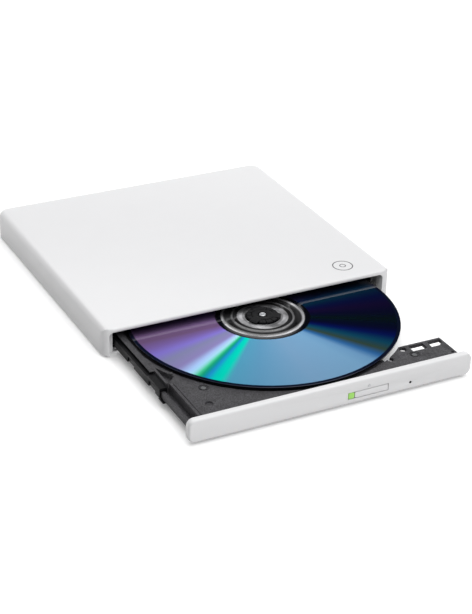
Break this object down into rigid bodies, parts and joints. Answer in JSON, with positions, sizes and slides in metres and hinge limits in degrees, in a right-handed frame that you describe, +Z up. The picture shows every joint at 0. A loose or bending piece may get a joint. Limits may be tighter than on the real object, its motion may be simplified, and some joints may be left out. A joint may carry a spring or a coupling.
{
  "type": "external optical drive",
  "caption": "Slim portable optical disc drive with a white housing, a sliding tray on telescoping slides, and a disc on a sprung spindle hub.",
  "frame": {"origin": "centre of the bottom of the bounding box with the tray in its stored, half-open pose", "axes": "+X to the right for a user facing the front bezel, -Y out of the front, +Z up"},
  "size_m": [0.142, 0.21, 0.014],
  "materials": {
    "white_shell": "fine satin moulding",
    "grey_plastic": "matte, dark grey",
    "black_plastic": "satin black",
    "rubber": "matte",
    "steel": "satin sheet",
    "dark_steel": "dark satin",
    "circuit_board": "solder mask",
    "pale_plastic": "matte",
    "lamp_window": "translucent, lit green",
    "copper_coil": "enamelled winding",
    "zinc": "die-cast",
    "lens_glass": "polished",
    "disc_mirror": "iridescent recording face under clear polycarbonate"
  },
  "bodies": {
    "base": {"top_cover": "white_shell", "bottom_cover": "white_shell", "drive_bottom_case": "steel", "drive_top_case": "steel", "fixed_rail_left": "black_plastic", "fixed_rail_right": "black_plastic", "main_board": "circuit_board", "controller_chip": "black_plastic", "driver_chip": "black_plastic", "ribbon_connector": "pale_plastic", "usb_socket": "steel", "lock_post": "steel", "foot_1": "rubber", "foot_2": "rubber", "foot_3": "rubber", "foot_4": "rubber", "cover_screw_1": "steel", "cover_screw_2": "steel", "cover_screw_3": "steel", "cover_screw_4": "steel"},
    "left_slide": {"slide_left": "black_plastic"},
    "right_slide": {"slide_right": "black_plastic"},
    "tray_unit": {"tray": "grey_plastic", "front_bezel": "white_shell", "light_window": "lamp_window", "tray_bottom_plate": "steel", "tray_board": "circuit_board", "eject_switch": "black_plastic", "tray_screw_1": "dark_steel", "tray_screw_2": "dark_steel", "latch_solenoid": "copper_coil", "chassis_plate": "dark_steel", "guide_rod_1": "steel", "guide_rod_2": "steel", "feed_motor": "steel", "spindle_base": "steel", "damper_1": "rubber", "damper_2": "rubber", "damper_3": "rubber", "damper_screw_1": "steel", "damper_screw_2": "steel", "damper_screw_3": "steel"},
    "button": {"eject_button": "white_shell"},
    "spindle": {"spindle_rotor": "dark_steel", "spindle_shaft": "steel", "hub_cap": "black_plastic", "disc": "disc_mirror"},
    "claw_1": {"hub_claw_1": "black_plastic"},
    "claw_2": {"hub_claw_2": "black_plastic"},
    "claw_3": {"hub_claw_3": "black_plastic"},
    "sled": {"pickup_sled": "zinc"},
    "lens": {"lens_holder": "black_plastic", "objective_lens": "lens_glass"},
    "feed_screw": {"lead_screw": "steel"},
    "latch": {"latch_lever": "steel"},
    "plunger": {"ejector_plunger": "grey_plastic"}
  },
  "joints": [
    {"name": "tray_slide", "type": "slide", "parent": "base", "child": "tray_unit", "axis": [0, -1, 0], "range_m": [-0.07545, 0.048]},
    {"name": "left_slide_run", "type": "slide", "parent": "base", "child": "left_slide", "axis": [0, -1, 0], "range_m": [-0.0507, 0.0323]},
    {"name": "right_slide_run", "type": "slide", "parent": "base", "child": "right_slide", "axis": [0, -1, 0], "range_m": [-0.0507, 0.0323]},
    {"name": "button_press", "type": "slide", "parent": "tray_unit", "child": "button", "axis": [0, 1, 0], "range_m": [0, 0.0006], "stiffness_N_per_m": 500, "springref_m": -0.0004},
    {"name": "disc_spin", "type": "hinge", "parent": "tray_unit", "child": "spindle", "pos_m": [-0.0003, -0.03823, 0.008], "axis": [0, 0, 1], "continuous": true},
    {"name": "claw_1_slide", "type": "slide", "parent": "spindle", "child": "claw_1", "axis": [0, -1, 0], "range_m": [0, 0.0008], "stiffness_N_per_m": 400, "springref_m": -0.0004},
    {"name": "claw_2_slide", "type": "slide", "parent": "spindle", "child": "claw_2", "axis": [0.866, 0.5, 0], "range_m": [0, 0.0008], "stiffness_N_per_m": 400, "springref_m": -0.0004},
    {"name": "claw_3_slide", "type": "slide", "parent": "spindle", "child": "claw_3", "axis": [-0.866, 0.5, 0], "range_m": [0, 0.0008], "stiffness_N_per_m": 400, "springref_m": -0.0004},
    {"name": "sled_slide", "type": "slide", "parent": "tray_unit", "child": "sled", "axis": [-0.7071, 0.7071, 0], "range_m": [0, 0.0325]},
    {"name": "lead_screw_turn", "type": "hinge", "parent": "tray_unit", "child": "feed_screw", "pos_m": [-0.01402, 0.0018, 0.0056], "axis": [-0.7071, 0.7071, 0], "range_deg": [0, 3901]},
    {"name": "lens_focus", "type": "slide", "parent": "sled", "child": "lens", "axis": [0, 0, 1], "range_m": [-0.0002, 0.0003], "stiffness_N_per_m": 120},
    {"name": "latch_swing", "type": "hinge", "parent": "tray_unit", "child": "latch", "pos_m": [0.054, -0.09847, 0.005], "axis": [0, 0, 1], "range_deg": [-12, 0]},
    {"name": "plunger_push", "type": "slide", "parent": "tray_unit", "child": "plunger", "axis": [0, 1, 0], "range_m": [-0.004, 0], "stiffness_N_per_m": 150, "springref_m": 0.003}
  ],
  "couplings": [
    {"joint": "left_slide_run", "follows": "tray_slide", "ratio": 0.67},
    {"joint": "right_slide_run", "follows": "tray_slide", "ratio": 0.67},
    {"joint": "lead_screw_turn", "follows": "sled_slide", "rad_per_m": 2094.4}
  ]
}
